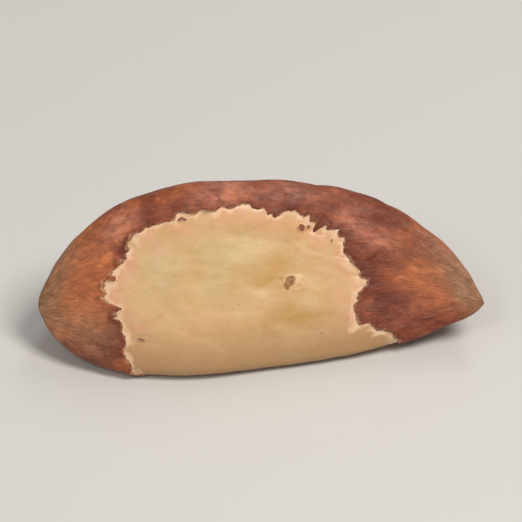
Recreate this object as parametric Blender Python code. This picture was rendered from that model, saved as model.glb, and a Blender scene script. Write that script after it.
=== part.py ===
"""A shelled brazil nut, lying on one of its two flat sides.

The nut is a single kernel. It is three-sided, like a segment of an orange: two flat sides meet in a keel, and
a broad arched back joins them. A thin brown skin covers it, apart from the patches where it was rubbed off.

Metres, +Z up, and +X along the nut towards its sharper tip. The origin is on the surface that the nut lies on,
under the middle of its bounding box. Angles round the nut are degrees from +Y towards +Z.
"""

import math

import bmesh
import bpy
import numpy as np
from mathutils import Matrix, Vector, noise

# The nut from tip to tip, and its side outline, drawn square to the flat side that faces forwards and up.
LENGTH = 0.0396
BACK_RISE = 0.0109  # the back's highest place, above the line through the tips
KEEL_DROP = 0.0058  # the keel below that line, halfway along
KEEL_SLANT = 0.0029  # how much deeper the keel lies towards the blunt tip, and shallower towards the sharp one

# How each outline closes at the blunt and at the sharp tip: (1 - |along| ** fullness) ** closing.
BACK_TAPER = {"blunt": (3.1, 0.78), "sharp": (2.45, 0.75)}
KEEL_TAPER = {"blunt": (2.4, 0.61), "sharp": (3.6, 0.80)}

# The cross-section, as walls round a centre: the angle that each one faces, and its distance from the centre.
KEEL_ANGLE = 54.0  # between the two flat sides
FLOOR_SIDE = -90.0
FRONT_SIDE = 90.0 + KEEL_ANGLE
BACK_SIDE = KEEL_ANGLE / 2
BACK_ARCH = 16.0  # the back's two walls are turned this far apart from its middle
WALLS = (
    (FLOOR_SIDE, 1.0),
    (FRONT_SIDE, 1.0),
    (BACK_SIDE - BACK_ARCH, 1.10),
    (BACK_SIDE + BACK_ARCH, 1.10),
)
EDGE_SHARPNESS = 5.5  # higher values give sharper ridges between the walls

TIP_HEIGHT = 0.0044  # of both tips, above the surface that the nut lies on
TIP_CURVE = 1.4  # how late the flat sides curve in towards the tips
REST_FLAT = 0.00012  # what is taken off the lowest side, so that the nut has a small flat spot to lie on

# Slow unevenness of the whole form: (share of the local size, distance between humps).
WAVES = ((0.030, 0.0110), (0.012, 0.0042))

# The skin, its torn edge, and the patches where it is rubbed off. A patch is drawn on the unrolled surface: its
# middle along X and as a share of the way round from the keel, up the front side if positive, then its half
# sizes, and how square its outline is.
SKIN_THICKNESS = 0.00022
TORN_BEVEL = 0.00025  # width over which the skin rises to its full thickness
TORN_EDGE = ((0.00100, 0.0075), (0.00090, 0.0028), (0.00040, 0.0011))  # (depth of the teeth, distance between them)
TOOTH_PULL = 0.7  # draws the teeth out, away from the middle of their patch
TOOTH_SHIFT = Vector((206.0, 0.0, 33.0))  # picks the stretch of noise that the teeth come from
PATCHES = (
    (-0.0020, 0.124, 0.01105, 0.0082, 2.5),
    (0.0050, -0.005, 0.0080, 0.0030, 1.85),
    (0.0078, -0.385, 0.0084, 0.0028, 1.8),
    (-0.0122, -0.330, 0.0044, 0.0034, 2.0),
)

# The mesh: faces round the nut and along it, and how near to a torn edge they are made finer.
AROUND = 52
ALONG = 66
FINE_WITHIN = 0.00040
OUTLINE_SAMPLES = 720

SKIN_COLOUR = (0.180, 0.062, 0.032, 1.0)
FLESH_COLOUR = (0.640, 0.430, 0.235, 1.0)


def even_outline():
    """The cross-section with walls one unit away: the distances walked round it, and the y and z at each."""
    angles = np.linspace(0.0, math.tau, OUTLINE_SAMPLES + 1)
    pushes = [np.maximum(np.cos(angles - math.radians(wall)) / away, 0.0) for wall, away in WALLS]
    radius = sum(push**EDGE_SHARPNESS for push in pushes) ** (-1.0 / EDGE_SHARPNESS)
    y = radius * np.cos(angles)
    z = radius * np.sin(angles)
    walked = np.concatenate(([0.0], np.cumsum(np.hypot(np.diff(y), np.diff(z)))))
    return walked, y, z


WALKED, OUTLINE_Y, OUTLINE_Z = even_outline()
PERIMETER = WALKED[-1]
KEEL_WALKED = WALKED[np.argmax(np.where(OUTLINE_Y < 0.0, np.hypot(OUTLINE_Y, OUTLINE_Z), 0.0))]
UP_FRONT = Vector((0.0, math.sin(math.radians(FRONT_SIDE)), -math.cos(math.radians(FRONT_SIDE))))
REACH_UP = np.max(OUTLINE_Y * UP_FRONT.y + OUTLINE_Z * UP_FRONT.z)
REACH_DOWN = -np.min(OUTLINE_Y * UP_FRONT.y + OUTLINE_Z * UP_FRONT.z)


def taper(along, ends):
    """1 in the middle of the nut, falling to 0 at its tips."""
    fullness, closing = ends["blunt" if along < 0.0 else "sharp"]
    return (1.0 - min(abs(along), 1.0) ** fullness) ** closing


def cross_section(along):
    """The size and centre of the cross-section at a place from -1, the blunt tip, to 1, the sharp tip."""
    above = BACK_RISE * taper(along, BACK_TAPER)
    below = (KEEL_DROP - KEEL_SLANT * along) * taper(along, KEEL_TAPER)
    size = (above + below) / (REACH_UP + REACH_DOWN)
    fullest = (BACK_RISE + KEEL_DROP) / (REACH_UP + REACH_DOWN)
    height = size + TIP_HEIGHT * max(1.0 - size / fullest, 0.0) ** TIP_CURVE
    up_front = size * REACH_DOWN - below
    y = (up_front - (height - TIP_HEIGHT) * UP_FRONT.z) / UP_FRONT.y
    return size, y, height


def share_round(unit):
    """How far round the cross-section a vertex of the unit sphere lies, from 0 to 1."""
    return math.atan2(unit.z, unit.y) / math.tau % 1.0


def kernel_point(unit):
    """Where a vertex of the unit sphere goes on the bare kernel."""
    size, centre_y, centre_z = cross_section(unit.x)
    walked = share_round(unit) * PERIMETER
    out_y = size * np.interp(walked, WALKED, OUTLINE_Y)
    out_z = size * np.interp(walked, WALKED, OUTLINE_Z)
    point = Vector((unit.x * LENGTH / 2, centre_y + out_y, centre_z + out_z))
    swell = sum(depth * noise.noise(point / apart) for depth, apart in WAVES)
    return point + Vector((0.0, out_y, out_z)) * swell


def patch_depth(unit, patch):
    """How far a vertex lies inside a rubbed patch with a smooth outline, negative outside it."""
    middle_x, middle_share, half_length, half_width, squareness = patch
    from_middle = (KEEL_WALKED / PERIMETER - share_round(unit) - middle_share + 0.5) % 1.0 - 0.5
    across = abs(from_middle) * PERIMETER * cross_section(unit.x)[0] / half_width
    along = abs(unit.x * LENGTH / 2 - middle_x) / half_length
    return (1.0 - (along**squareness + across**squareness) ** (1.0 / squareness)) * min(half_length, half_width)


def unit_at(x, share_from_keel):
    """The vertex of the unit sphere for a place along X and a share of the way round from the keel."""
    turn = (KEEL_WALKED / PERIMETER - share_from_keel) * math.tau
    across = math.sqrt(1.0 - (x / (LENGTH / 2)) ** 2)
    return Vector((x / (LENGTH / 2), across * math.cos(turn), across * math.sin(turn)))


def torn_teeth(point, patch):
    """How far the torn edge of a patch is moved by its teeth at a point of the kernel."""
    middle = kernel_point(unit_at(patch[0], patch[1]))
    arm = point - middle
    pulled = middle + arm * ((patch[2] + patch[3]) / 2 / max(arm.length, 1e-6)) ** TOOTH_PULL
    return sum(depth * noise.noise(pulled / apart + TOOTH_SHIFT) for depth, apart in TORN_EDGE)


def bareness(unit):
    """How far a vertex lies inside bare flesh, negative under skin. It is 0 on the torn edge."""
    point = kernel_point(unit)
    return max(patch_depth(unit, patch) + torn_teeth(point, patch) for patch in PATCHES)


def sphere_along_x():
    """A unit sphere with its poles on the X axis, made finer where a torn edge will cross it."""
    sphere = bmesh.new()
    bmesh.ops.create_uvsphere(
        sphere,
        u_segments=AROUND,
        v_segments=ALONG,
        radius=1.0,
        matrix=Matrix.Rotation(math.radians(90.0), 4, "Y"),
    )
    near = {vert for vert in sphere.verts if abs(bareness(vert.co)) < FINE_WITHIN}
    torn = [edge for edge in sphere.edges if near.intersection(edge.verts)]
    bmesh.ops.subdivide_edges(sphere, edges=torn, cuts=1, use_grid_fill=True)
    bmesh.ops.triangulate(sphere, faces=sphere.faces)
    for vert in sphere.verts:
        vert.co.normalize()
    return sphere


def cover_with_skin(kernel, bare):
    """Lifts the surface by the skin's thickness outside the patches, and tells skin from flesh on its faces."""
    kernel.normal_update()
    cover = [min(max(-depth / TORN_BEVEL, 0.0), 1.0) * SKIN_THICKNESS for depth in bare]
    lifts = [vert.normal * thick for vert, thick in zip(kernel.verts, cover)]
    for vert, lift in zip(kernel.verts, lifts):
        vert.co += lift
    for face in kernel.faces:
        face.material_index = int(sum(bare[vert.index] for vert in face.verts) > 0.0)


def flatten_rest(kernel):
    """Takes the lowest side off level, so that the nut has a small flat spot to lie on."""
    level = min(vert.co.z for vert in kernel.verts) + REST_FLAT
    for vert in kernel.verts:
        vert.co.z = max(vert.co.z, level)


def centre_on_floor(kernel):
    """Moves the middle of the bounding box over the origin, with the flat spot at height 0."""
    low, high = (Vector(map(pick, zip(*(vert.co for vert in kernel.verts)))) for pick in (min, max))
    offset = Vector(((low.x + high.x) / 2, (low.y + high.y) / 2, low.z))
    bmesh.ops.translate(kernel, verts=kernel.verts, vec=-offset)


def material(name, colour, roughness):
    """A Principled BSDF of one colour."""
    made = bpy.data.materials.new(name)
    made.use_nodes = True
    shader = made.node_tree.nodes["Principled BSDF"]
    shader.inputs["Base Color"].default_value = colour
    shader.inputs["Roughness"].default_value = roughness
    shader.inputs["Metallic"].default_value = 0.0
    return made


def build_kernel():
    """The nut as one solid, with its skin as relief and as a second material."""
    kernel = sphere_along_x()
    kernel.verts.index_update()
    bare = [bareness(vert.co) for vert in kernel.verts]
    for vert in kernel.verts:
        vert.co = kernel_point(vert.co)
    cover_with_skin(kernel, bare)
    flatten_rest(kernel)
    centre_on_floor(kernel)
    mesh = bpy.data.meshes.new("kernel")
    kernel.to_mesh(mesh)
    kernel.free()
    mesh.shade_smooth()
    mesh.materials.append(material("brown_skin", SKIN_COLOUR, 0.55))
    mesh.materials.append(material("cream_flesh", FLESH_COLOUR, 0.45))
    return bpy.data.objects.new("kernel", mesh)


def main():
    for obj in list(bpy.data.objects):
        bpy.data.objects.remove(obj)
    nut = bpy.data.collections.new("brazil_nut")
    bpy.context.scene.collection.children.link(nut)
    nut.objects.link(build_kernel())


main()
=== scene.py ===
# %% [markdown]
# # A shelled brazil nut
#
# A brazil nut kernel is three-sided, like a segment of an orange. Two nearly flat sides meet in a keel, and
# a broad arched back joins them. It is covered by a papery brown skin, which shelling rubs off in patches,
# so that the cream flesh shows.
#
# In this lesson we make one kernel as a single closed mesh. A sphere is bent into the kernel by a formula,
# the flesh gets its dents and scrapes, and the skin is raised over it with a torn edge. Then the two
# finishes are mixed in one material, and the nut is lit on a pale floor.
#
# The first cell loads the solid model that this piece has to agree with, and keeps its box for later.
# Lengths are in metres, apart from names that end in mm. MM turns metres into millimetres.

import math

import bmesh
import bpy
import numpy as np
from mathutils import Matrix, Vector, noise


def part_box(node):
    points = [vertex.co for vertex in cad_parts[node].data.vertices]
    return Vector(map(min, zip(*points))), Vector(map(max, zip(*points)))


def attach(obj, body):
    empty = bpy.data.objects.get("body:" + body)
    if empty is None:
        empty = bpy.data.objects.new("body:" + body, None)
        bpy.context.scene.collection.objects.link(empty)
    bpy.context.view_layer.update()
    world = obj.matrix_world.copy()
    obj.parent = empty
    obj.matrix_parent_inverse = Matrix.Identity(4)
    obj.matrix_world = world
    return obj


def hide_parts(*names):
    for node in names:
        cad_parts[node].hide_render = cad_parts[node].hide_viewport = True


MM = 1000.0

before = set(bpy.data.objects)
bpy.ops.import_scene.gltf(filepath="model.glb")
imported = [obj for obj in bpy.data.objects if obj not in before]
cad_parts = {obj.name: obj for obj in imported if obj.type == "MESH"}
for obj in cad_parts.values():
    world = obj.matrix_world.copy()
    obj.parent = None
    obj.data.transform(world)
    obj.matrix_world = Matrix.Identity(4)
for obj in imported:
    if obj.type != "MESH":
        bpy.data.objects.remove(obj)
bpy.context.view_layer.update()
nut_low, nut_high = (Vector(corner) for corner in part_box("kernel"))
print("solid kernel, mm:", [round(side * MM, 1) for side in nut_high - nut_low])

# %% [markdown]
# ## The side outline
#
# Seen square to one flat side, the kernel has a high arched back and a keel that is almost straight. Both
# tips lie on one line, about a third of the way up. One tip is blunt and the other is sharper.
#
# We could trace such an outline with a curve object, but a formula is easier to adjust. Each half is a
# height times a taper that falls from 1 in the middle to 0 at the tip. The first number of a taper says how
# full the outline stays before it turns down, and the second how bluntly it closes.

# %% The heights and tapers of the outline
LENGTH = 0.0396
BACK_RISE = 0.0109
KEEL_DROP = 0.0058
KEEL_SLANT = 0.0029
BACK_TAPER = {"blunt": (3.1, 0.78), "sharp": (2.45, 0.75)}
KEEL_TAPER = {"blunt": (2.4, 0.61), "sharp": (3.6, 0.80)}


def taper(along, ends):
    """1 in the middle of the nut, falling to 0 at both tips. along runs from -1 to 1."""
    reach = np.minimum(np.abs(along), 1.0)
    half = {end: (1.0 - reach**fullness) ** closing for end, (fullness, closing) in ends.items()}
    return np.where(along < 0.0, half["blunt"], half["sharp"])


quarters = np.linspace(-1.0, 1.0, 5)
print("taper of the back at the quarters:", taper(quarters, BACK_TAPER).round(2))

# %% [markdown]
# ## The cross-section
#
# A cut through the kernel is a triangle with round corners and slightly bulging sides. One way to draw it
# is a polygon with a bevel on each corner. Here each wall pushes the outline in instead, and the pushes are
# summed with a high power. That gives round corners from one number, and the outline is smooth all the way
# round.
#
# Each wall is the angle that it faces, in degrees from the back towards the top, and its distance from the
# centre. The back gets two walls, turned a little apart, so that it arches.
#
# The outline is then walked in even steps, because vertices spaced by angle would crowd on the flat sides
# and be sparse on the corners, where the detail is. The keel is the farthest corner in front. Places round
# the nut are counted from there, as shares of the whole way round.

# %% The outline of a cut through the nut
KEEL_ANGLE = 54.0
FLOOR_SIDE = -90.0
FRONT_SIDE = 90.0 + KEEL_ANGLE
BACK_SIDE = KEEL_ANGLE / 2
BACK_ARCH = 16.0
WALLS = (
    (FLOOR_SIDE, 1.0),
    (FRONT_SIDE, 1.0),
    (BACK_SIDE - BACK_ARCH, 1.10),
    (BACK_SIDE + BACK_ARCH, 1.10),
)
EDGE_SHARPNESS = 5.5
OUTLINE_SAMPLES = 720

angles = np.linspace(0.0, math.tau, OUTLINE_SAMPLES + 1)
pushes = [np.maximum(np.cos(angles - math.radians(wall)) / away, 0.0) for wall, away in WALLS]
radius = sum(push**EDGE_SHARPNESS for push in pushes) ** (-1.0 / EDGE_SHARPNESS)
outline_y = radius * np.cos(angles)
outline_z = radius * np.sin(angles)
walked = np.concatenate(([0.0], np.cumsum(np.hypot(np.diff(outline_y), np.diff(outline_z)))))
perimeter = walked[-1]
keel_share = walked[np.argmax(np.where(outline_y < 0.0, radius, 0.0))] / perimeter
print("perimeter over wall distance:", round(float(perimeter), 2))

# %% [markdown]
# ## Sizes and places of the cuts
#
# The nut lies on one flat side, so its other flat side leans back. Distances up that leaning side come from
# the side outline, and the height of each cut comes from the floor: the nut touches it in the middle, and
# its tips are lifted.

# %% Where each cut lies
TIP_HEIGHT = 0.0044
TIP_CURVE = 1.4

up_front = np.array([math.sin(math.radians(FRONT_SIDE)), -math.cos(math.radians(FRONT_SIDE))])
heights_up_front = outline_y * up_front[0] + outline_z * up_front[1]
reach_up, reach_down = heights_up_front.max(), -heights_up_front.min()
fullest = (BACK_RISE + KEEL_DROP) / (reach_up + reach_down)


def cross_section(along):
    """The size and the centre of the cuts at places from -1, the blunt tip, to 1, the sharp tip."""
    above = BACK_RISE * taper(along, BACK_TAPER)
    below = (KEEL_DROP - KEEL_SLANT * along) * taper(along, KEEL_TAPER)
    size = (above + below) / (reach_up + reach_down)
    height = size + TIP_HEIGHT * np.maximum(1.0 - size / fullest, 0.0) ** TIP_CURVE
    y = (size * reach_down - below - (height - TIP_HEIGHT) * up_front[1]) / up_front[0]
    return size, y, height


print("size of the middle cut, mm:", round(float(cross_section(np.array([0.0]))[0][0]) * MM, 2))

# %% [markdown]
# ## Unevenness from noise
#
# Nothing grown is quite regular. Smooth noise gives hills and hollows that are a chosen distance apart, and
# the same place always gets the same value, so the mesh comes out alike each time. Three distances instead
# of one draw the hills out along the nut. The shift lets one noise serve many fields that don't line up
# with each other.
#
# Much of what follows has to start at one value and be complete at another, so we also write a ramp.

# %% Hills, creases and ramps
def hills(places, apart, shift=0.0):
    """Smooth noise from about -1 to 1 at each place, with hills this far apart, in metres."""
    scaled = np.asarray(places) / np.asarray(apart) + shift
    return np.array([noise.noise(place) for place in scaled.tolist()])


def creases(places, apart, shift=0.0):
    """Noise that has narrow ridges at 1, and wide hollows near 0 or below it."""
    return 1.0 - np.abs(hills(places, apart, shift)) * 2.0


def ramp(values, start, full):
    """0 up to start, 1 from full on, and a straight slope between them."""
    return np.clip((values - start) / (full - start), 0.0, 1.0)


print("ramp from 0.2 to 0.6 at 0.3:", round(float(ramp(0.3, 0.2, 0.6)), 2))

# %% [markdown]
# ## From a sphere to a kernel
#
# A sphere whose poles lie on the long axis already has the right layout: its rings become the cuts and its
# poles become the tips. Each vertex keeps its place along the axis, and its angle round the axis says how
# far it has walked round the outline of the cut. Two slow waves swell and shrink the cuts a little: each is
# a share of the cut's size, and the distance between its hills.

# %% The bare kernel
WAVES = ((0.030, 0.0110), (0.012, 0.0042))


def share_round(units):
    """How far round the cut each vertex of the unit sphere lies, from 0 to 1."""
    return np.arctan2(units[:, 2], units[:, 1]) / math.tau % 1.0


def kernel_points(units):
    """Where the vertices of the unit sphere go on the bare kernel."""
    size, centre_y, centre_z = cross_section(units[:, 0])
    steps = share_round(units) * perimeter
    out_y = size * np.interp(steps, walked, outline_y)
    out_z = size * np.interp(steps, walked, outline_z)
    out = np.column_stack((np.zeros_like(size), out_y, out_z))
    points = np.column_stack((units[:, 0] * LENGTH / 2, centre_y, centre_z)) + out
    swell = sum(depth * hills(points, apart) for depth, apart in WAVES)
    return points + out * swell[:, None]


tips = kernel_points(np.array([[-1.0, 0.0, 0.0], [1.0, 0.0, 0.0]]))
print("from tip to tip, mm:", round(float(tips[1, 0] - tips[0, 0]) * MM, 1))

# %% [markdown]
# ## Where the skin is rubbed off
#
# The skin is gone from most of one flat side and the keel below it, and from smaller places that stuck out
# while the nuts were tumbled. Each rubbed patch is an oval on the unrolled surface: its middle along the
# nut, its middle round the nut as a share from the keel, its half length, its half width, and how square it
# is, where 2 is an ellipse. Its depth is how far inside the patch a point lies, so one number tells flesh
# from skin, and also how near the torn edge is.

# %% The rubbed patches
PATCHES = (
    (-0.0020, 0.124, 0.01105, 0.0082, 2.5),
    (0.0050, -0.005, 0.0080, 0.0030, 1.85),
    (0.0078, -0.385, 0.0084, 0.0028, 1.8),
    (-0.0122, -0.330, 0.0044, 0.0034, 2.0),
)


def round_from(units, share_from_keel):
    """How far round the cut the vertices lie from a line along the nut, as a share from -0.5 to 0.5."""
    return (keel_share - share_round(units) - share_from_keel + 0.5) % 1.0 - 0.5


def away_from(units, middle_x, middle_share):
    """How far the vertices lie from one place, along the nut and round it."""
    along = np.abs(units[:, 0] * LENGTH / 2 - middle_x)
    across = np.abs(round_from(units, middle_share)) * perimeter * cross_section(units[:, 0])[0]
    return along, across


def patch_depth(units, patch):
    """How far the vertices lie inside a rubbed patch with a smooth outline, negative outside it."""
    middle_x, middle_share, half_length, half_width, squareness = patch
    along, across = away_from(units, middle_x, middle_share)
    outwards = (along / half_length) ** squareness + (across / half_width) ** squareness
    return (1.0 - outwards ** (1.0 / squareness)) * min(half_length, half_width)


for patch in PATCHES:
    print("half sizes of a patch, mm:", round(patch[2] * MM, 1), "by", round(patch[3] * MM, 1))

# %% [markdown]
# ## The torn edge
#
# A dry skin doesn't tear along a smooth line. We add noise to the depth of a patch, so that its edge gets
# bays and teeth. Each layer of teeth is how deep they go and how far apart they are. The noise is squeezed
# towards the middle of the patch, which draws the teeth out and away from it, as a tear runs. The finest
# teeth are strong in some stretches and weak in others, because an edge that is ragged everywhere looks
# stamped.

# %% Teeth along the torn edge
COARSE_TEETH = ((0.00100, 0.0075), (0.00090, 0.0028), (0.00040, 0.0011))
FINE_TEETH = ((0.00034, 0.00060), (0.00018, 0.00030))
TOOTH_PULL = 0.7
TOOTH_SHIFT = np.array([206.0, 0.0, 33.0])
STRETCHES_APART = 0.0042
USUAL_STRENGTH = 0.7
STRENGTH_SWING = 2.0
WEAKEST, STRONGEST = 0.1, 1.6
SHORTEST_ARM = 1e-6


def unit_at(x, share_from_keel):
    """The vertex of the unit sphere for a place along the nut and a share of the way round from the keel."""
    turn = (keel_share - share_from_keel) * math.tau
    along = x / (LENGTH / 2)
    across = math.sqrt(1.0 - along**2)
    return np.array([[along, across * math.cos(turn), across * math.sin(turn)]])


def teeth(pulled, layers):
    """The sum of layers of teeth at places that were pulled towards a patch's middle."""
    return sum(depth * hills(pulled, apart, TOOTH_SHIFT) for depth, apart in layers)


def torn_teeth(points, patch):
    """How far the torn edge of a patch is moved by its teeth."""
    middle = kernel_points(unit_at(patch[0], patch[1]))
    arms = points - middle
    reach = np.maximum(np.linalg.norm(arms, axis=1), SHORTEST_ARM)
    pulled = middle + arms * (((patch[2] + patch[3]) / 2 / reach) ** TOOTH_PULL)[:, None]
    strength = USUAL_STRENGTH + STRENGTH_SWING * hills(points, STRETCHES_APART, 71.0)
    strength = np.clip(strength, WEAKEST, STRONGEST)
    return teeth(pulled, COARSE_TEETH) + teeth(pulled, FINE_TEETH) * strength


def torn_depth(units, points):
    """How far the vertices lie inside a torn edge, negative outside all of them."""
    return np.max([patch_depth(units, patch) + torn_teeth(points, patch) for patch in PATCHES], axis=0)


print("deepest tooth, mm:", round(sum(depth for depth, apart in COARSE_TEETH + FINE_TEETH) * MM, 2))

# %% [markdown]
# ## Crumbs of skin
#
# A few crumbs of skin are left inside a patch, close to its edge. They could be small pieces laid on the
# flesh, but they are grown to it, so they belong to the same surface: a few high heaps of noise are covered
# again. The keel is rubbed hardest and keeps none. The result is the bareness of each vertex, negative
# wherever skin is.

# %% The bareness of each vertex
CRUMB_APART = (0.0014, 0.0008, 0.0008)
CRUMB_ROUGHNESS = 0.30
CRUMB_GRAIN = 0.00042
CRUMB_START, CRUMB_FULL = 0.60, 0.67
CRUMB_REACH = 0.0016
CRUMB_COVER = 0.00012
KEEL_RUBBED = 0.05


def bareness(units, points):
    """How far the vertices lie inside bare flesh, negative under skin and under crumbs of it."""
    depth = torn_depth(units, points)
    heaps = hills(points, CRUMB_APART, 57.0) + CRUMB_ROUGHNESS * hills(points, CRUMB_GRAIN, 58.0)
    close_by = (depth > 0.0) & (depth < CRUMB_REACH) & (np.abs(round_from(units, 0.0)) > KEEL_RUBBED)
    return depth - ramp(heaps, CRUMB_START, CRUMB_FULL) * close_by * (depth + CRUMB_COVER)


print("crumbs lie within", CRUMB_REACH * MM, "mm of the torn edge")

# %% [markdown]
# ## The mesh
#
# A fine mesh is needed where the skin ends, because the skin is only a fifth of a millimetre thick there,
# and at the one deep mark in the flesh. The whole nut doesn't need it. So the sphere is made at a middling
# resolution, and only the edges near the torn line and round the mark are cut in half, then those nearest
# to it once more.

# %% A sphere that is finest along the torn edge
AROUND = 192
ALONG = 256
FINE_WITHIN = (0.00045, 0.00016)
MARK = (0.0026, 0.155)
FINE_ROUND_MARK = 0.0012


def as_array(verts):
    """The places of the vertices as rows of numbers."""
    return np.array([vert.co[:] for vert in verts])


sphere = bmesh.new()
bmesh.ops.create_uvsphere(
    sphere,
    u_segments=AROUND,
    v_segments=ALONG,
    radius=1.0,
    matrix=Matrix.Rotation(math.radians(90.0), 4, "Y"),
)
for reach in FINE_WITHIN:
    units = as_array(sphere.verts)
    at_edge = np.abs(bareness(units, kernel_points(units))) < reach
    at_mark = np.hypot(*away_from(units, *MARK)) < FINE_ROUND_MARK
    near = {vert for vert, needed in zip(sphere.verts, at_edge | at_mark) if needed}
    torn = [edge for edge in sphere.edges if near.intersection(edge.verts)]
    bmesh.ops.subdivide_edges(sphere, edges=torn, cuts=1, use_grid_fill=True)
    for vert in sphere.verts:
        vert.co.normalize()
units = as_array(sphere.verts)
points = kernel_points(units)
bare = bareness(units, points)
print("vertices:", len(units), "of them on flesh:", int((bare > 0.0).sum()))

# %% [markdown]
# ## Places on the nut
#
# Several finishes need to know where on the nut they are: how near a ridge, how near a tip, or how near one
# chosen place. We work the first two out once for each vertex, and write a helper for the third. Its
# outline can be ragged, because no dent or stain on a nut is round. The ridges are the keel and both edges
# of the back.

# %% Ridges, tips and spots
RIDGE_SHARES = (0.0, 0.350, -0.345)
RIDGE_WIDTH = 0.0016
TIP_START = 0.86
RAGGED_APART = 0.0005

size_here = cross_section(units[:, 0])[0]
from_keel = round_from(units, 0.0)
to_ridge = np.min([np.abs(round_from(units, share)) for share in RIDGE_SHARES], axis=0)
ridge = np.exp(-((to_ridge * perimeter * size_here / RIDGE_WIDTH) ** 2))
tip = ramp(np.abs(units[:, 0]), TIP_START, 1.0)
uneven = hills(points, RAGGED_APART, 19.0)


def spot(middle_x, middle_share, reach, ragged=0.0):
    """1 at a place on the nut, falling to 0 round it, with a round or a ragged outline."""
    away = np.hypot(*away_from(units, middle_x, middle_share))
    return np.exp(-((away * (1.0 + ragged * uneven) / reach) ** 2))


print("vertices on ridges:", int((ridge > 0.5).sum()), "at tips:", int((tip > 0.5).sum()))

# %% [markdown]
# ## Veins
#
# Fine veins run through the skin from tip to tip. They lie side by side in the middle and draw together
# towards both tips. Noise doesn't know that, so we give it other places to read: the nut unrolled onto a
# straight tube, where lines along the nut stay the same distance apart. Bent back onto the nut, they draw
# together. The tube alone makes the tips look like an onion, so its places are mixed with the real ones.

# %% The places that veins are read from
VEINS_DRAWN_IN = 0.55

tube_radius = perimeter * fullest / math.tau
around = share_round(units) * math.tau
tube = np.column_stack((units[:, 0] * LENGTH / 2, tube_radius * np.cos(around), tube_radius * np.sin(around)))
on_tube = VEINS_DRAWN_IN * tube + (1.0 - VEINS_DRAWN_IN) * points
print("tube radius, mm:", round(float(tube_radius) * MM, 2))

# %% [markdown]
# ## Facets and scrapes in the flesh
#
# Flesh is smooth and waxy, but shelling leaves broad facets, and shallow scrapes along the nut. The facets
# are up to a fifth of a millimetre high, and the scrapes a few hundredths deep. We make them in the mesh
# and not in the material, so that they also show in the exported shape. Here we only add up how far each
# vertex will be moved outwards.

# %% The relief of the flesh
FACET_HEIGHT = 0.00020
FACETS_APART = (0.0052, 0.0034, 0.0034)
RIPPLES = ((0.00003, 0.0014, 5.0), (0.00001, 0.0006, 6.0))
SCRAPE_DEPTH = 0.00006
SCRAPES_APART = (0.0090, 0.0013, 0.0013)
SCRAPE_START = 0.72
SCRAPED_PLACES_APART = 0.0060
SCRAPED_FULL = 0.33

flesh_relief = FACET_HEIGHT * np.abs(hills(points, FACETS_APART, 3.0))
for height, apart, shift in RIPPLES:
    flesh_relief += height * hills(points, apart, shift)
scraped = ramp(hills(points, SCRAPED_PLACES_APART, 9.0), 0.0, SCRAPED_FULL)
flesh_relief -= SCRAPE_DEPTH * scraped * ramp(creases(points, SCRAPES_APART, 7.0), SCRAPE_START, 1.0)
print("flesh relief, mm:", (flesh_relief.min() * MM).round(3), "to", (flesh_relief.max() * MM).round(3))

# %% [markdown]
# ## Pits in the flesh
#
# This nut has one mark that is deep enough to see, with two small ones beside it, and a few faint dents.
# Each is a place along the nut, a share round it from the keel, a radius and a depth. A pit is a bowl with
# a low swollen rim, and the deeper it is, the more dirt it has gathered.

# %% Pits
PITS = (
    (*MARK, 0.00052, 0.00024),
    (0.0018, 0.163, 0.00030, 0.00012),
    (0.0034, 0.149, 0.00024, 0.00009),
    (-0.0078, 0.205, 0.00045, 0.00007),
    (0.0010, 0.060, 0.00070, 0.00006),
    (-0.0045, 0.262, 0.00050, 0.00008),
    (-0.0060, 0.110, 0.00040, 0.00005),
)
PIT_RAGGED = 0.9
PIT_WALL = (0.30, 0.92)
PIT_RIM = 0.40
RIM_REACH = 2.0
DIRTY_FROM = 0.60

deepest = max(deep for x, share, reach, deep in PITS)
soiled = np.zeros_like(flesh_relief)
for x, share, reach, deep in PITS:
    hollow = ramp(spot(x, share, reach, PIT_RAGGED), *PIT_WALL)
    flesh_relief += deep * (PIT_RIM * spot(x, share, reach * RIM_REACH) - hollow)
    soiled += (deep / deepest) ** 2 * ramp(hollow, 0.0, DIRTY_FROM)
print("vertices in dirty pits:", int((soiled > 0.5).sum()))

# %% [markdown]
# ## The skin
#
# The skin is a fifth of a millimetre thick, dry, and finely wrinkled along its veins. It also buckles a
# little over broader places, where it came loose from the flesh as the nut dried. At the torn edge it lifts
# off in places. Its height is zero on flesh and rises within a tenth of a millimetre, so that the edge
# catches the light on one side and throws a thin shadow on the other.

# %% The relief of the skin
SKIN_THICKNESS = 0.00018
TORN_BEVEL = 0.00007
WRINKLES = ((0.00004, (0.0040, 0.0011, 0.0011), 11.0), (0.00002, (0.0020, 0.0006, 0.0006), 12.0))
BUCKLE_HEIGHT = 0.00009
BUCKLES_APART = (0.0032, 0.0020, 0.0020)
LIFT_HEIGHT = 0.00036
LIFTS_APART = 0.0017
LIFT_BIAS = 0.15
LIFT_MIDDLE = 0.00016
LIFT_WIDTH = 0.00026

skin_relief = SKIN_THICKNESS + BUCKLE_HEIGHT * hills(points, BUCKLES_APART, 13.0)
for height, apart, shift in WRINKLES:
    skin_relief += height * creases(on_tube, apart, shift) * (1.0 - tip)
beside_edge = np.exp(-(((torn_depth(units, points) + LIFT_MIDDLE) / LIFT_WIDTH) ** 2))
lifted = np.clip(hills(points, LIFTS_APART, 17.0) + LIFT_BIAS, 0.0, 1.0)
skin_relief += LIFT_HEIGHT * lifted * beside_edge
covered = ramp(-bare, 0.0, TORN_BEVEL)
print("skin height, mm:", (skin_relief.min() * MM).round(3), "to", (skin_relief.max() * MM).round(3))

# %% [markdown]
# ## Nicks in the skin
#
# Rubbing also chips the skin away from its patches, mostly on the ridges, and shows its paler inside. The
# side that lost most of its skin in one piece has hardly any nicks beside that piece. So noise makes the
# nicks, the ridges raise it a little, and that side lowers it. The same numbers are stored for the material
# later.

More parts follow.
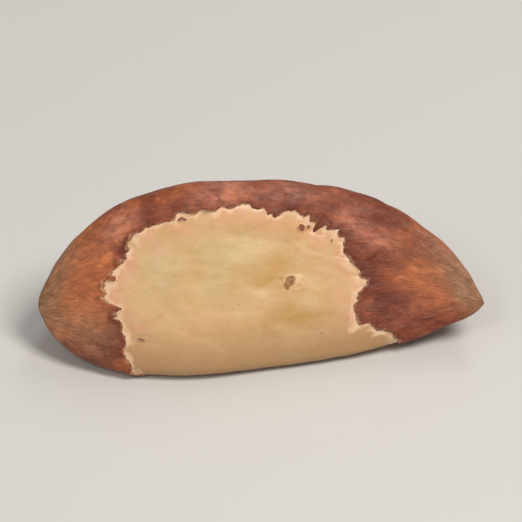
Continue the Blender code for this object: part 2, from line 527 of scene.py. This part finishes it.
# %% Nicks
NICKS_APART = (0.0017, 0.0011, 0.0011)
NICKED_PLACES_APART = 0.0060
NICK_START, NICK_FULL = 0.50, 0.58
NICK_DEPTH = 0.00013
NICK_CLEARANCE = 0.0008
NICKED_PLACES_WEIGHT = 0.10
NICKED_RIDGE_WEIGHT = 0.10
SHELTER_WEIGHT = 0.40
SHELTERED_SHARE = 0.16
SHELTERED_REACH = 0.27
SHELTER_FADE = 0.2

sheltered = ramp(1.0 - np.abs(from_keel - SHELTERED_SHARE) / SHELTERED_REACH, 0.0, SHELTER_FADE)
nicked = hills(points, NICKS_APART, 51.0) + NICKED_PLACES_WEIGHT * hills(points, NICKED_PLACES_APART, 53.0)
nicked += NICKED_RIDGE_WEIGHT * ridge - SHELTER_WEIGHT * sheltered
nick = ramp(nicked, NICK_START, NICK_FULL) * (bare < -NICK_CLEARANCE)
skin_relief -= NICK_DEPTH * nick
print("vertices in nicks:", int((nick > 0.5).sum()))

# %% [markdown]
# ## Which way the relief goes
#
# Flesh and skin relief are added along the normals of the bare kernel. Right at a tip the normals fan out
# within a tenth of a millimetre, and a skin raised along them would fold over itself. So they are turned
# towards the nut's own axis there.

# %% Directions of the relief
TURNED_FROM = 0.96

for vert, point in zip(sphere.verts, points.tolist()):
    vert.co = point
sphere.normal_update()
directions = np.array([vert.normal[:] for vert in sphere.verts])
turned = ramp(np.abs(units[:, 0]), TURNED_FROM, 1.0)
directions *= (1.0 - turned)[:, None]
directions[:, 0] += turned * np.sign(units[:, 0])
directions /= np.linalg.norm(directions, axis=1)[:, None]
print("vertices with turned directions:", int((turned > 0.0).sum()))

# %% [markdown]
# ## The finished mesh
#
# Both reliefs are added, and the nut is set where the solid model is. That one has a flat spot cut off for
# it to lie on. Here the lowest fifth of a millimetre, and what would reach below the floor, are squeezed
# together instead. So the nut lies just as flat, and its underside keeps a trace of the relief.

# %% One closed piece
SQUEEZED = 0.00020

shaped = points + directions * (flesh_relief + covered * skin_relief)[:, None]
lowest, highest = shaped.min(axis=0), shaped.max(axis=0)
offset = [(nut_low[axis] + nut_high[axis] - lowest[axis] - highest[axis]) / 2 for axis in (0, 1)]
offset.append(nut_high[2] - highest[2])
placed = shaped + np.array(offset)
above_floor = placed[:, 2]
squeezed = SQUEEZED * np.exp(above_floor / SQUEEZED - 1.0)
placed[:, 2] = np.where(above_floor < SQUEEZED, squeezed, above_floor)
placed[:, 2] -= placed[:, 2].min()
for vert, place in zip(sphere.verts, placed.tolist()):
    vert.co = place

nut_mesh = bpy.data.meshes.new("brazil_nut")
sphere.to_mesh(nut_mesh)
sphere.free()
nut_mesh.shade_smooth()
nut = bpy.data.objects.new("brazil_nut", nut_mesh)
bpy.context.scene.collection.objects.link(nut)
triangles = sum(len(face.vertices) - 2 for face in nut_mesh.polygons)
print("triangles:", triangles, "size, mm:", [round(side * MM, 2) for side in nut.dimensions])

# %% [markdown]
# ## Numbers that the material reads
#
# A material can read a number stored on each vertex through an Attribute node. We store how bare the
# surface is, in millimetres, how near a ridge, a tip and the keel it is, where it is nicked, and where a
# pit has gathered dirt. The places on the tube are stored too, for the veins.

# %% Store what the shape knows
KEEL_SHADE_WIDTH = 0.0034


def store(name, values, kind="FLOAT", field="value"):
    """Puts one number, or one place, on each vertex of the nut."""
    attribute = nut_mesh.attributes.new(name, kind, "POINT")
    attribute.data.foreach_set(field, np.asarray(values, dtype=np.float32).ravel())


store("bare_mm", bare * MM)
store("ridge", ridge)
store("tip", tip)
# Nearness to the keel, which the material uses for painted shade on the flesh.
store("keel", np.exp(-((from_keel * perimeter * size_here / KEEL_SHADE_WIDTH) ** 2)))
store("nicked", nicked)
store("soiled", soiled)
store("on_tube", on_tube, "FLOAT_VECTOR", "vector")
print("stored:", [attribute.name for attribute in nut_mesh.attributes if attribute.domain == "POINT"])

# %% [markdown]
# ## Blotches at given places
#
# No noise puts a blotch where this nut has one, so its main blotches are listed one by one: a ruddy blunt
# end and a dark band beyond the patch, a pale tan rim at both ends, pinkish scuffs on the ridge above the
# patch, which are partly painted highlights, and golden, rosy and ivory tints on the flesh. A few dark and
# tan blotches are painted shade, low on the blunt end and along the keel near the sharp tip, and one on top
# of the back is partly painted shade. Each is a place along the nut, a share round it from the keel, a
# radius and a strength, where a tone below zero is darker. Noise breaks up their outlines in the material.

# %% Store the blotches
BLOTCHES = {
    "tone_and_shade": (
        (-0.0154, 0.170, 0.0026, 2.3),
        (-0.0128, 0.300, 0.0026, 0.6),
        (-0.0120, 0.250, 0.0010, -1.5),
        # Painted shade: darker low on the blunt end.
        (-0.0138, 0.052, 0.0024, -1.2),
        (0.0068, 0.248, 0.0020, -0.9),
        (0.0092, 0.205, 0.0020, -0.9),
        # Partly painted shade: darker on top of the back.
        (0.0100, 0.300, 0.0030, -0.9),
        (0.0098, 0.135, 0.0022, -0.7),
        (0.0096, 0.062, 0.0016, -1.0),
        # Painted shade: darker along the keel near the sharp tip.
        (0.0145, 0.000, 0.0028, -0.9),
        (0.0150, 0.200, 0.0028, 1.0),
        (0.0168, 0.110, 0.0020, 0.8),
        (0.0020, 0.300, 0.0016, -0.9),
        (-0.0050, 0.430, 0.0060, -0.4),
    ),
    "tan_and_shade": (
        (-0.0182, 0.300, 0.0022, 0.9),
        (-0.0190, 0.100, 0.0020, 0.8),
        # Painted shade: greyer low on the blunt end.
        (-0.0152, 0.075, 0.0024, 0.7),
        (0.0185, 0.200, 0.0018, 1.2),
        (0.0165, 0.300, 0.0024, 0.6),
    ),
    # Scuffs, which are partly painted highlights on the ridge above the patch.
    "scuff_and_highlight": (
        (0.0078, 0.280, 0.0011, 1.0),
        (0.0095, 0.268, 0.0010, 0.7),
        (0.0112, 0.256, 0.0011, 0.7),
        (-0.0125, 0.300, 0.0015, 1.0),
        (0.0022, 0.332, 0.0018, 0.6),
        (-0.0035, 0.332, 0.0024, 0.7),
    ),
    "gold": (
        (0.0030, 0.090, 0.0034, 1.0),
        (0.0085, 0.050, 0.0026, 0.8),
        (0.0010, 0.200, 0.0030, 0.3),
    ),
    "rose": (
        (-0.0090, 0.262, 0.0016, 0.9),
        (-0.0010, 0.305, 0.0014, 1.1),
        (-0.0135, 0.180, 0.0010, 1.2),
        (-0.0050, 0.100, 0.0020, 0.6),
        (0.0075, 0.150, 0.0014, 0.6),
        (0.0085, 0.055, 0.0020, 0.7),
    ),
    "ivory": (
        (-0.0096, 0.200, 0.0026, 0.8),
        (-0.0032, 0.215, 0.0030, 0.8),
        (-0.0044, 0.140, 0.0022, 0.6),
        (0.0070, 0.190, 0.0014, 0.6),
    ),
}

for name, spots in BLOTCHES.items():
    strengths = sum(amount * spot(x, share, reach) for x, share, reach, amount in spots)
    store(name, strengths)
    print(name, "from", strengths.min().round(2), "to", strengths.max().round(2))

# %% [markdown]
# ## The material
#
# Flesh and skin could be two materials on two sets of faces, but then the torn edge would follow the mesh.
# In one material the edge can be finer than a face. Small helpers keep the node trees short to write. A Mix
# node has sockets of the same names for numbers and for colours, so those are picked by their position.

# %% Helpers for node trees
nut_paint = bpy.data.materials.new("nut_flesh_and_skin")
nut_paint.use_nodes = True
tree = nut_paint.node_tree
shader = tree.nodes["Principled BSDF"]


def node(kind, **settings):
    """A new node of this kind, with its settings."""
    made = tree.nodes.new(kind)
    for name, value in settings.items():
        setattr(made, name, value)
    return made


def feed(socket, value):
    """Gives a socket a constant or the output of another node."""
    if isinstance(value, bpy.types.NodeSocket):
        tree.links.new(value, socket)
    else:
        socket.default_value = value


def calculate(operation, first, second):
    """A Math node."""
    made = node("ShaderNodeMath", operation=operation)
    feed(made.inputs[0], first)
    feed(made.inputs[1], second)
    return made.outputs[0]


def plus(first, second):
    """The sum of two numbers."""
    return calculate("ADD", first, second)


def minus(first, second):
    """The first number less the second."""
    return calculate("SUBTRACT", first, second)


def times(first, second):
    """The product of two numbers."""
    return calculate("MULTIPLY", first, second)


def larger(first, second):
    """The larger of two numbers."""
    return calculate("MAXIMUM", first, second)


def between(value, low, high, to_low=0.0, to_high=1.0):
    """Maps a range of numbers to another one, and stays within it."""
    made = node("ShaderNodeMapRange", clamp=True)
    sockets = ("Value", "From Min", "From Max", "To Min", "To Max")
    for name, number in zip(sockets, (value, low, high, to_low, to_high)):
        feed(made.inputs[name], number)
    return made.outputs[0]


def blend_colours(share, first, second, blend_type="MIX"):
    """A Mix node for colours."""
    made = node("ShaderNodeMix", data_type="RGBA", blend_type=blend_type, clamp_factor=True)
    feed(made.inputs[0], share)
    feed(made.inputs[6], first)
    feed(made.inputs[7], second)
    return made.outputs[2]


def shade(colour, amount):
    """Multiplies a colour by a number or by another colour."""
    return blend_colours(1.0, colour, amount, "MULTIPLY")


def blend_numbers(share, first, second):
    """A Mix node for numbers."""
    made = node("ShaderNodeMix", data_type="FLOAT", clamp_factor=True)
    feed(made.inputs[0], share)
    feed(made.inputs[2], first)
    feed(made.inputs[3], second)
    return made.outputs[0]


def stored(name, output="Fac"):
    """What was stored on the vertices under a name."""
    return node("ShaderNodeAttribute", attribute_type="GEOMETRY", attribute_name=name).outputs[output]


print("shader:", shader.name)

# %% [markdown]
# ## Grain
#
# Nearly every finish on the nut is a Noise texture at its own scale. It would be easy to write each scale
# as a bare number, but a maker thinks in millimetres, so the helper takes how far apart the spots are. It
# can draw them out along the nut, or along the veins, which it reads from the places on the tube. Its first
# numbers are how far apart the spots are, how far they are drawn out, how many finer layers lie on top of
# them, and how strong those are.
#
# Noise stays near a half, so each use of it is read between two numbers, from where it gives 0 to where it
# gives 1. Two more numbers, where there are any, say what it gives instead of 0 and 1.

# %% Noise at a real scale
SHIFT_SHARES = (1.0, 0.7, 1.3)


def noise_at(placed_at, detail, roughness, distortion=0.0):
    """A Noise texture that reads its places from a Mapping node."""
    made = node("ShaderNodeTexNoise", noise_dimensions="3D")
    tree.links.new(placed_at.outputs["Vector"], made.inputs["Vector"])
    settings = {"Scale": 1.0, "Detail": detail, "Roughness": roughness, "Distortion": distortion}
    for name, number in settings.items():
        made.inputs[name].default_value = number
    return made.outputs["Fac"]


def grain(apart_mm, stretch=1.0, detail=2.0, roughness=0.5, shift=0.0, distortion=0.0, along_veins=False):
    """Noise with spots this many millimetres apart, drawn out along the nut or along its veins."""
    placed_at = node("ShaderNodeMapping", vector_type="POINT")
    places = stored("on_tube", "Vector") if along_veins else node("ShaderNodeTexCoord").outputs["Object"]
    tree.links.new(places, placed_at.inputs["Vector"])
    across = MM / apart_mm
    placed_at.inputs["Scale"].default_value = (across / stretch, across, across)
    placed_at.inputs["Location"].default_value = [shift * share for share in SHIFT_SHARES]
    return noise_at(placed_at, detail, roughness, distortion)


print("scale of spots half a millimetre apart:", MM / 0.5)

# %% [markdown]
# ## The torn edge, finer than the mesh
#
# The stored bareness is smooth between two vertices. A little fine noise on top gives fibres and nicks of a
# twentieth of a millimetre.

# %% The mask between flesh and skin
FRAY_MM = 0.09
MASK_EDGE_MM = 0.03

bare_mm = stored("bare_mm")
here = {name: stored(name) for name in ("ridge", "tip", "keel", "nicked", "soiled", *BLOTCHES)}
frayed_mm = plus(bare_mm, between(grain(0.22, detail=3.0), 0.2, 0.8, -FRAY_MM, FRAY_MM))
skin_mask = between(frayed_mm, -MASK_EDGE_MM, MASK_EDGE_MM, 1.0, 0.0)
print("numbers to read:", len(here) + 1)

# %% [markdown]
# ## The colour of the flesh
#
# Fresh flesh is a warm cream, paler in soft clouds. It is more golden where it has dried, and has a faint
# greenish ivory cast where it is thickest. Fine streaks run along the nut.

# %% Cream flesh with its tints
CREAM = (0.650, 0.415, 0.200, 1.0)
PALE_CREAM = (0.780, 0.560, 0.345, 1.0)
GOLDEN = (0.570, 0.325, 0.110, 1.0)
IVORY = (0.610, 0.470, 0.230, 1.0)
GOLD_WEIGHT = 0.16

gold_share = plus(grain(3.0, 1.4, 3.0, shift=3.0, distortion=0.4), times(here["gold"], GOLD_WEIGHT))
flesh = blend_colours(between(gold_share, 0.50, 0.74, 0.0, 0.85), CREAM, GOLDEN)
flesh = blend_colours(between(grain(2.4, 1.2, 3.0, shift=5.0), 0.48, 0.74, 0.0, 0.45), flesh, PALE_CREAM)
ivory_share = times(here["ivory"], between(grain(1.8, 1.2, 3.0, shift=7.0), 0.35, 0.60, 0.3, 0.9))
flesh = blend_colours(ivory_share, flesh, IVORY)
streaks = between(grain(0.50, 3.0, 3.0, shift=11.0, distortion=0.6), 0.30, 0.70, 0.95, 1.04)
print("nodes for the tints:", len(tree.nodes))

# %% [markdown]
# ## Stains, dirt and painted shade on the flesh
#
# Near the torn edge the inner side of the skin has left a rosy stain. Towards the keel the flesh is painted
# darker and duller as painted shade, and the pits hold brown dirt in specks. Right beside the skin there is a
# narrow pale rim, where it was torn off last and the flesh is still fresh. Its width wanders, or it would
# look painted on.

# %% Stained, soiled and fresh places, and painted shade at the keel
ROSY = (0.720, 0.365, 0.205, 1.0)
KEEL_SHADE = (0.370, 0.210, 0.095, 1.0)
SOILED = (0.230, 0.080, 0.016, 1.0)
FRESH = (0.850, 0.590, 0.380, 1.0)
STAINED_TO_MM = 2.6
KEEL_SHADE_SHARE = 0.8

near_edge = between(bare_mm, 0.2, STAINED_TO_MM, 1.0, 0.0)
stain_noise = between(grain(1.5, 1.2, 3.0, shift=9.0), 0.36, 0.60, 0.1, 0.85)
flesh = blend_colours(times(larger(near_edge, here["rose"]), stain_noise), flesh, ROSY)
flesh = shade(flesh, streaks)
# Painted shade: the flesh is darkened towards the keel.
flesh = blend_colours(times(here["keel"], KEEL_SHADE_SHARE), flesh, KEEL_SHADE)
specks = between(grain(0.26, 1.0, 4.0, 0.65, shift=14.0), 0.34, 0.60, 0.35, 0.90)
flesh = blend_colours(times(here["soiled"], specks), flesh, SOILED)
rim_mm = between(grain(0.8, shift=13.0), 0.35, 0.65, 0.18, 0.85)
flesh = blend_colours(between(calculate("DIVIDE", bare_mm, rim_mm), 0.1, 1.0, 0.85, 0.0), flesh, FRESH)
print("nodes with the stains:", len(tree.nodes))

# %% [markdown]
# ## Dust and scratches on the flesh
#
# Dust of skin sticks to the flesh, most of it near the torn edge. Two sets of thin, straight scratches
# cross the flat side, from other nuts that slid over it. They could be drawn as curves, but there are many
# and they are finer than the mesh. Noise that is stretched a lot, and cut off high, leaves short straight
# lines. A Mapping node of type Texture turns them by an angle and then stretches them, and broader noise
# keeps them in groups.

# %% Dust and scratches
SKIN_DUST = (0.180, 0.070, 0.035, 1.0)
SCRATCH_SIZE = (0.0110, 0.00017, 0.00017)
SCRATCH_ANGLES = (14.0, -27.0)
SCRATCH_PALENESS = 0.32


def scratches(degrees, shift):
    """Thin straight marks across the flat side, at this angle to the nut's length."""
    rotation = Matrix.Rotation(math.radians(degrees), 3, Vector((0.0, -up_front[1], up_front[0])))
    placed_at = node("ShaderNodeMapping", vector_type="TEXTURE")
    tree.links.new(node("ShaderNodeTexCoord").outputs["Object"], placed_at.inputs["Vector"])
    placed_at.inputs["Location"].default_value = (shift, 0.0, 0.0)
    placed_at.inputs["Rotation"].default_value = rotation.to_euler()
    placed_at.inputs["Scale"].default_value = SCRATCH_SIZE
    lines = between(noise_at(placed_at, 1.0, 0.4), 0.70, 0.78)
    return times(lines, between(grain(3.0, shift=61.0 + shift), 0.50, 0.64))


dust = between(grain(0.34, 1.3, 2.0, shift=15.0), 0.735, 0.760)
flesh = blend_colours(times(dust, between(bare_mm, 0.3, 3.0, 0.9, 0.35)), flesh, SKIN_DUST)
scratched = larger(scratches(SCRATCH_ANGLES[0], 1.0), scratches(SCRATCH_ANGLES[1], 4.0))
flesh = blend_colours(times(scratched, SCRATCH_PALENESS), flesh, PALE_CREAM)
print("nodes of the whole flesh:", len(tree.nodes))

# %% [markdown]
# ## The colour of the skin
#
# The skin runs from dark maroon over chestnut to ruddy orange, and it is tan where it is thin. Some of the
# listed dark and tan blotches are painted shade instead, low on the blunt end and along the keel near the
# sharp tip. On top of these slow blotches it is mottled, with short fibres along the veins.

# %% Blotches, mottle and fibres
MAROON = (0.145, 0.024, 0.008, 1.0)
CHESTNUT = (0.250, 0.060, 0.022, 1.0)
RUDDY = (0.430, 0.122, 0.038, 1.0)
TAN = (0.300, 0.145, 0.070, 1.0)
TONE_WEIGHT = 0.17
TAN_WEIGHT = 0.8

# The stored tone and tan blotches hold painted shade as well as the skin's own colour.
blotches = plus(grain(3.0, 1.3, 3.0, 0.55, shift=21.0, distortion=0.4), times(here["tone_and_shade"], TONE_WEIGHT))
skin = blend_colours(between(blotches, 0.30, 0.50), MAROON, CHESTNUT)
skin = blend_colours(between(blotches, 0.50, 0.72), skin, RUDDY)
skin = blend_colours(times(here["tan_and_shade"], TAN_WEIGHT), skin, TAN)
skin = shade(skin, between(grain(0.70, 1.5, 4.0, 0.65, shift=23.0, distortion=0.7), 0.32, 0.68, 0.75, 1.22))
fibres = grain(0.24, 9.0, 3.0, 0.6, shift=25.0, distortion=0.3, along_veins=True)
skin = shade(skin, between(fibres, 0.30, 0.70, 0.83, 1.16))
print("nodes with the skin's blotches:", len(tree.nodes))

# %% [markdown]
# ## Flakes, scuffs and painted highlights
#
# The skin's outer film has flaked off in places and shows a paler layer with a crisp outline. That happens
# first on the ridges, at the tips, and where the nut was scuffed. Multiplying by a pale tint keeps the
# mottle below in view, where a plain colour would cover it. The scuffs are also blended to a pale pink,
# which is partly scuffed skin and partly a painted highlight on the ridge.

# %% Flaked and scuffed places, with painted highlights
UNDER_FILM = (1.60, 1.80, 2.00, 1.0)
SCUFF_HIGHLIGHT_PINK = (0.560, 0.235, 0.165, 1.0)
WEAR_WEIGHT = 0.07
SCUFF_WEIGHT = 1.6
FLAKE_PALENESS = 0.50
FLAKE_IN_SCUFFS = 0.5

wear = times(larger(larger(here["ridge"], here["tip"]), times(here["scuff_and_highlight"], SCUFF_WEIGHT)), WEAR_WEIGHT)
film = grain(0.85, 1.8, 5.0, 0.70, shift=29.0, distortion=0.5, along_veins=True)
flaked = between(plus(film, wear), 0.545, 0.60)
flake_strength = plus(times(here["scuff_and_highlight"], FLAKE_IN_SCUFFS), FLAKE_PALENESS)
skin = blend_colours(times(flaked, flake_strength), skin, UNDER_FILM, "MULTIPLY")
scuff_highlight_grain = between(grain(0.45, 2.5, 4.0, 0.65, shift=30.0, along_veins=True), 0.42, 0.62, 0.15, 0.75)
# Painted highlight: pale pink on the scuffs, partly scuffed skin and partly a painted highlight.
skin = blend_colours(times(here["scuff_and_highlight"], scuff_highlight_grain), skin, SCUFF_HIGHLIGHT_PINK)
print("nodes with the flakes:", len(tree.nodes))

# %% [markdown]
# ## The rim of the skin and its nicks, with painted shadow
#
# Beside the torn edge the skin curls up, and a dark band is painted there as painted shadow of the curled
# lip, most of all where the skin is dark already. Its outermost tenth of a millimetre is a pale fringe,
# because there we look at the torn thickness. The nicks show the same pale inside, with brown fibres still
# on it, and a thin dark outline round each is painted shade of its step.

# %% Painted shadow at the rim, pale fringe and nicks
FRINGE = (0.560, 0.320, 0.190, 1.0)
TONE_AT_RIM = 0.10
RIM_SHADOW_DARKNESS = 0.75
FRINGE_PALENESS = 0.8
CHIP_FRAY = 0.10
OUTLINE_START, OUTLINE_FULL = NICK_START - 0.05, NICK_START + 0.01
NICK_SHADE_DARKNESS = 0.60
PALE_START = NICK_START + 0.02

rim_shadow_noise = between(minus(grain(1.1, 1.0, 4.0, shift=31.0), times(here["tone_and_shade"], TONE_AT_RIM)), 0.36, 0.60)
rim_shadow = times(between(bare_mm, -0.85, -0.20), rim_shadow_noise)
# Painted shadow: a dark band on the skin just beside the torn edge.
skin = blend_colours(times(rim_shadow, RIM_SHADOW_DARKNESS), skin, MAROON)
fringe = times(between(frayed_mm, -0.14, -0.05), between(grain(0.7, shift=33.0), 0.40, 0.60))
skin = blend_colours(times(fringe, FRINGE_PALENESS), skin, FRINGE)
chip_noise = between(grain(0.20, 1.0, 3.0, shift=34.0), 0.2, 0.8, -CHIP_FRAY, CHIP_FRAY)
chipped = plus(here["nicked"], chip_noise)
away_from_edge = between(bare_mm, -0.9, -0.7, 1.0, 0.0)
nick_step_shade = times(between(chipped, OUTLINE_START, OUTLINE_FULL), away_from_edge)
# Painted shade: a thin dark outline round each nick, where its step is.
skin = blend_colours(times(nick_step_shade, NICK_SHADE_DARKNESS), skin, MAROON)
nicks = times(between(chipped, PALE_START, NICK_FULL), away_from_edge)
left_fibres = between(grain(0.30, 3.0, 4.0, 0.65, shift=36.0, along_veins=True), 0.38, 0.62, 0.30, 0.95)
skin = blend_colours(times(nicks, left_fibres), skin, FRINGE)
feed(shader.inputs["Base Color"], blend_colours(skin_mask, flesh, skin))
print("nodes of both colours:", len(tree.nodes))

# %% [markdown]
# ## Gloss and softness
#
# Oily flesh has a soft gloss, apart from where it is dirty, and lets light through a little, which is what
# makes it look waxy. The skin is drier, but its rubbed ridges shine. How far light travels is the same for
# both, red furthest, so it is set once, and only its weight is mixed.

# %% Gloss and softness
LIGHT_TRAVEL = (1.0, 0.45, 0.20)
LIGHT_REACH = 0.0011
OILY = 1.44
OILY_ROUGHNESS = (0.31, 0.48)
DRY_ROUGHNESS = (0.44, 0.64)
DIRT_ROUGHNESS = 0.30
RIDGE_SHINE = 0.06
FLESH_SOFTNESS = 0.32
SKIN_SOFTNESS = 0.04

oily_roughness = between(grain(1.4, 1.5, 3.0, shift=35.0), 0.3, 0.7, *OILY_ROUGHNESS)
flesh_roughness = plus(oily_roughness, times(here["soiled"], DIRT_ROUGHNESS))
dry_roughness = between(grain(0.8, 1.5, 3.0, shift=37.0), 0.3, 0.7, *DRY_ROUGHNESS)
skin_roughness = minus(dry_roughness, times(here["ridge"], RIDGE_SHINE))
feed(shader.inputs["Roughness"], blend_numbers(skin_mask, flesh_roughness, skin_roughness))
feed(shader.inputs["Subsurface Weight"], blend_numbers(skin_mask, FLESH_SOFTNESS, SKIN_SOFTNESS))
shader.inputs["Subsurface Radius"].default_value = LIGHT_TRAVEL
shader.inputs["Subsurface Scale"].default_value = LIGHT_REACH
shader.inputs["IOR"].default_value = OILY
print("light reaches, mm:", [round(share * LIGHT_REACH * MM, 2) for share in LIGHT_TRAVEL])

# %% [markdown]
# ## Fine relief
#
# What is finer than the mesh goes into a Bump node, whose height is in millimetres here: the pores and
# scratches of the flesh, and the skin's finest wrinkles along its veins. They could be mesh too, but only
# at many times as many faces, and the shape itself doesn't need them.

# %% Bump
BUMP_UNIT = 0.001
WRINKLE_MM = 0.150
FINE_WRINKLE_MM = 0.022
FLAKE_MM = 0.012
PORE_MM = 0.024
FINE_PORE_MM = 0.012
SCRATCH_MM = 0.014
SKIN_STEP_MM = 0.05

pores = times(grain(0.55, 1.8, 3.0, shift=41.0), PORE_MM)
fine_pores = times(grain(0.16, 1.0, 2.0, shift=43.0), FINE_PORE_MM)
flesh_bump = minus(plus(pores, fine_pores), times(scratched, SCRATCH_MM))
wrinkled = times(grain(0.48, 3.0, 4.0, 0.62, shift=25.0, distortion=0.8, along_veins=True), WRINKLE_MM)
skin_bump = plus(wrinkled, times(grain(0.14, 1.3, 2.0, shift=47.0), FINE_WRINKLE_MM))
skin_bump = minus(skin_bump, times(flaked, FLAKE_MM))
bump = node("ShaderNodeBump")
bump.inputs["Distance"].default_value = BUMP_UNIT
feed(bump.inputs["Height"], blend_numbers(skin_mask, flesh_bump, plus(skin_bump, SKIN_STEP_MM)))
tree.links.new(bump.outputs["Normal"], shader.inputs["Normal"])
nut_mesh.materials.append(nut_paint)
print("nodes in the material:", len(tree.nodes))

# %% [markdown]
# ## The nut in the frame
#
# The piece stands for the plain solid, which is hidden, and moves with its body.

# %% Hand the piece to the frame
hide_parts("kernel")
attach(nut, "root")
print("in the frame:", nut.name)

# %% [markdown]
# ## The floor
#
# The nut lies on a plain pale floor that runs far past the picture's edge, so no horizon shows. It isn't
# part of the object.

# %% A pale floor
FLOOR_COLOUR = (0.64, 0.63, 0.61, 1.0)
FLOOR_ROUGHNESS = 0.85
FLOOR_WIDTH = 4.0

floor_paint = bpy.data.materials.new("pale_floor")
floor_paint.use_nodes = True
floor_shader = floor_paint.node_tree.nodes["Principled BSDF"]
floor_shader.inputs["Base Color"].default_value = FLOOR_COLOUR
floor_shader.inputs["Roughness"].default_value = FLOOR_ROUGHNESS
bpy.ops.mesh.primitive_plane_add(size=FLOOR_WIDTH, location=(0.0, 0.0, 0.0))
floor = bpy.context.object
floor.name = "floor"
floor.data.materials.append(floor_paint)
print("floor:", floor.dimensions.x, "m wide")

# %% [markdown]
# ## Light
#
# Large soft lamps show form without hard shadows. The key lamp is above, in front and on the right. A
# smaller one on the left is mirrored in the leaning flat side, and gives the flesh its sheen. A broad one
# fills the shadows, and one behind draws the top outline. Each lamp is its direction from the nut, its
# distance, the side of its square, its power and its colour.

# %% Soft lamps
NUT_MIDDLE = Vector((0.0, 0.0, 0.0068))
LAMPS = {
    "key": ((0.50, -0.40, 1.0), 0.40, 0.16, 1.16, (1.0, 0.96, 0.90)),
    "sheen": ((-0.45, -0.85, 0.95), 0.40, 0.10, 0.22, (1.0, 0.96, 0.91)),
    "fill": ((-0.9, -0.7, 0.6), 0.45, 0.30, 0.22, (1.0, 0.98, 0.96)),
    "rim": ((0.3, 0.8, 0.9), 0.40, 0.14, 0.24, (1.0, 0.97, 0.94)),
}
SKY_COLOUR = (1.0, 0.99, 0.98, 1.0)
SKY_STRENGTH = 0.26

for name, (direction, distance, side, power, colour) in LAMPS.items():
    lamp = bpy.data.lights.new(name, "AREA")
    lamp.size = side
    lamp.energy = power
    lamp.color = colour
    lamp_object = bpy.data.objects.new(name, lamp)
    away = Vector(direction).normalized()
    lamp_object.location = NUT_MIDDLE + away * distance
    lamp_object.rotation_euler = away.to_track_quat("Z", "Y").to_euler()
    bpy.context.scene.collection.objects.link(lamp_object)

world = bpy.data.worlds.new("studio")
world.use_nodes = True
sky = world.node_tree.nodes["Background"]
sky.inputs["Color"].default_value = SKY_COLOUR
sky.inputs["Strength"].default_value = SKY_STRENGTH
bpy.context.scene.world = world
print("lamps:", ", ".join(LAMPS))

# %% [markdown]
# ## The camera
#
# The camera looks square at the leaning flat side, as in the photograph, through a long lens, which keeps
# the nut's proportions true. The lens follows from how wide a view is wanted at the nut. The Standard view
# shows the colours as they were mixed.

# %% The camera
CAMERA_ELEVATION = 36.0
CAMERA_DISTANCE = 0.45
VIEW_WIDTH = 0.047
SENSOR_WIDTH = 36.0
NEAREST_SEEN = 0.01

camera = bpy.data.objects.new("camera", bpy.data.cameras.new("camera"))
elevation = math.radians(CAMERA_ELEVATION)
toward_camera = Vector((0.0, -math.cos(elevation), math.sin(elevation)))
camera.location = NUT_MIDDLE + toward_camera * CAMERA_DISTANCE
camera.rotation_euler = toward_camera.to_track_quat("Z", "Y").to_euler()
camera.data.sensor_width = SENSOR_WIDTH
camera.data.lens = SENSOR_WIDTH * CAMERA_DISTANCE / VIEW_WIDTH
camera.data.clip_start = NEAREST_SEEN
bpy.context.scene.collection.objects.link(camera)
bpy.context.scene.camera = camera
bpy.context.scene.view_settings.view_transform = "Standard"
print("lens, mm:", round(camera.data.lens))
